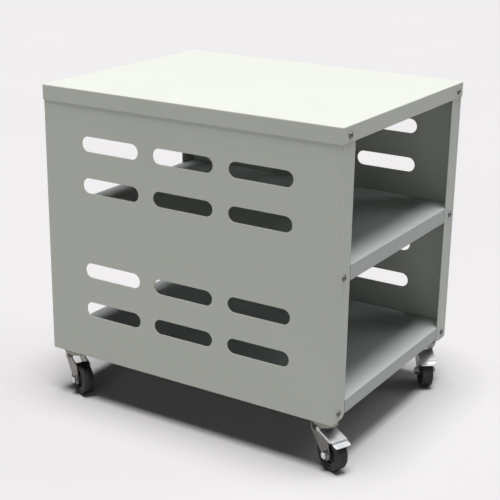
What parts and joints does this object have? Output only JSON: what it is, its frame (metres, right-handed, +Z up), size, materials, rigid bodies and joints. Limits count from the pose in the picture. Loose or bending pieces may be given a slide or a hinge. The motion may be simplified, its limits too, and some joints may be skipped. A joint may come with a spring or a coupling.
{
  "type": "mobile printer stand",
  "caption": "Folded sheet-steel stand open at front and rear, with a middle shelf and base tray, slotted side panels, and swivel casters, the front ones braked.",
  "frame": {"origin": "on the floor, under the middle of the cabinet", "axes": "+X to the right side panel, +Y to the rear opening, +Z up; the braked casters are at the front, -Y"},
  "size_m": [0.3946, 0.5395, 0.495],
  "materials": {
    "cap_paint": "light grey powder coat, fine texture",
    "panel_paint": "light warm grey powder coat, fine texture",
    "shelf_paint": "light grey powder coat, fine texture",
    "frame_paint": "light grey powder coat",
    "screws": "zinc plated",
    "caster_zinc": "bright zinc plated pressing",
    "caster_fasteners": "zinc plated",
    "bright_steel": "polished steel",
    "brake_shoe": "matt",
    "tyre": "matt black rubber",
    "hub": "dark grey moulded plastic"
  },
  "bodies": {
    "cabinet": {"base_shelf": "shelf_paint", "base_shelf_nuts": "screws", "base_shelf_screws": "screws", "cap_nuts": "screws", "cap_screws": "screws", "caster_bolts": "caster_fasteners", "caster_nuts": "caster_fasteners", "front_caster_rail": "frame_paint", "left_side_panel": "panel_paint", "mid_shelf": "shelf_paint", "mid_shelf_nuts": "screws", "mid_shelf_screws": "screws", "mid_shelf_stiffener": "frame_paint", "rear_caster_rail": "frame_paint", "right_side_panel": "panel_paint", "top_cap": "cap_paint", "top_stiffener": "frame_paint", "front_left_caster_plate": "caster_zinc", "front_left_kingpin": "caster_fasteners", "front_right_caster_plate": "caster_zinc", "front_right_kingpin": "caster_fasteners", "rear_left_caster_plate": "caster_zinc", "rear_left_kingpin": "caster_fasteners", "rear_right_caster_plate": "caster_zinc", "rear_right_kingpin": "caster_fasteners"},
    "front_left_swivel": {"front_left_fork": "caster_zinc", "front_left_bearing_balls": "bright_steel", "front_left_axle_bolt": "caster_fasteners", "front_left_axle_nut": "caster_fasteners", "front_left_axle_bush": "bright_steel", "front_left_brake_pin": "caster_fasteners"},
    "front_left_wheel": {"front_left_wheel_hub": "hub", "front_left_tyre": "tyre"},
    "front_left_pedal": {"front_left_brake_pedal": "caster_zinc", "front_left_brake_shoe": "brake_shoe"},
    "front_right_swivel": {"front_right_fork": "caster_zinc", "front_right_bearing_balls": "bright_steel", "front_right_axle_bolt": "caster_fasteners", "front_right_axle_nut": "caster_fasteners", "front_right_axle_bush": "bright_steel", "front_right_brake_pin": "caster_fasteners"},
    "front_right_wheel": {"front_right_wheel_hub": "hub", "front_right_tyre": "tyre"},
    "front_right_pedal": {"front_right_brake_pedal": "caster_zinc", "front_right_brake_shoe": "brake_shoe"},
    "rear_left_swivel": {"rear_left_fork": "caster_zinc", "rear_left_bearing_balls": "bright_steel", "rear_left_axle_bolt": "caster_fasteners", "rear_left_axle_nut": "caster_fasteners", "rear_left_axle_bush": "bright_steel"},
    "rear_left_wheel": {"rear_left_wheel_hub": "hub", "rear_left_tyre": "tyre"},
    "rear_right_swivel": {"rear_right_fork": "caster_zinc", "rear_right_bearing_balls": "bright_steel", "rear_right_axle_bolt": "caster_fasteners", "rear_right_axle_nut": "caster_fasteners", "rear_right_axle_bush": "bright_steel"},
    "rear_right_wheel": {"rear_right_wheel_hub": "hub", "rear_right_tyre": "tyre"}
  },
  "joints": [
    {"name": "front_left_swivel_turn", "type": "hinge", "parent": "cabinet", "child": "front_left_swivel", "pos_m": [-0.169, -0.225, 0.0725], "axis": [0, 0, 1], "continuous": true},
    {"name": "front_left_wheel_spin", "type": "hinge", "parent": "front_left_swivel", "child": "front_left_wheel", "pos_m": [-0.17713, -0.24327, 0.025], "axis": [0.9135, -0.4067, 0], "continuous": true},
    {"name": "front_left_brake_tilt", "type": "hinge", "parent": "front_left_swivel", "child": "front_left_pedal", "pos_m": [-0.17022, -0.22774, 0.0585], "axis": [0.9135, -0.4067, 0], "range_deg": [-14, 0]},
    {"name": "front_right_swivel_turn", "type": "hinge", "parent": "cabinet", "child": "front_right_swivel", "pos_m": [0.169, -0.225, 0.0725], "axis": [0, 0, 1], "continuous": true},
    {"name": "front_right_wheel_spin", "type": "hinge", "parent": "front_right_swivel", "child": "front_right_wheel", "pos_m": [0.15282, -0.23676, 0.025], "axis": [0.5878, -0.809, 0], "continuous": true},
    {"name": "front_right_brake_tilt", "type": "hinge", "parent": "front_right_swivel", "child": "front_right_pedal", "pos_m": [0.16657, -0.22676, 0.0585], "axis": [0.5878, -0.809, 0], "range_deg": [-14, 0]},
    {"name": "rear_left_swivel_turn", "type": "hinge", "parent": "cabinet", "child": "rear_left_swivel", "pos_m": [-0.169, 0.225, 0.0725], "axis": [0, 0, 1], "continuous": true},
    {"name": "rear_left_wheel_spin", "type": "hinge", "parent": "rear_left_swivel", "child": "rear_left_wheel", "pos_m": [-0.17777, 0.20702, 0.025], "axis": [0.8988, -0.4384, 0], "continuous": true},
    {"name": "rear_right_swivel_turn", "type": "hinge", "parent": "cabinet", "child": "rear_right_swivel", "pos_m": [0.169, 0.225, 0.0725], "axis": [0, 0, 1], "continuous": true},
    {"name": "rear_right_wheel_spin", "type": "hinge", "parent": "rear_right_swivel", "child": "rear_right_wheel", "pos_m": [0.17713, 0.24327, 0.025], "axis": [-0.9135, 0.4067, 0], "continuous": true}
  ]
}
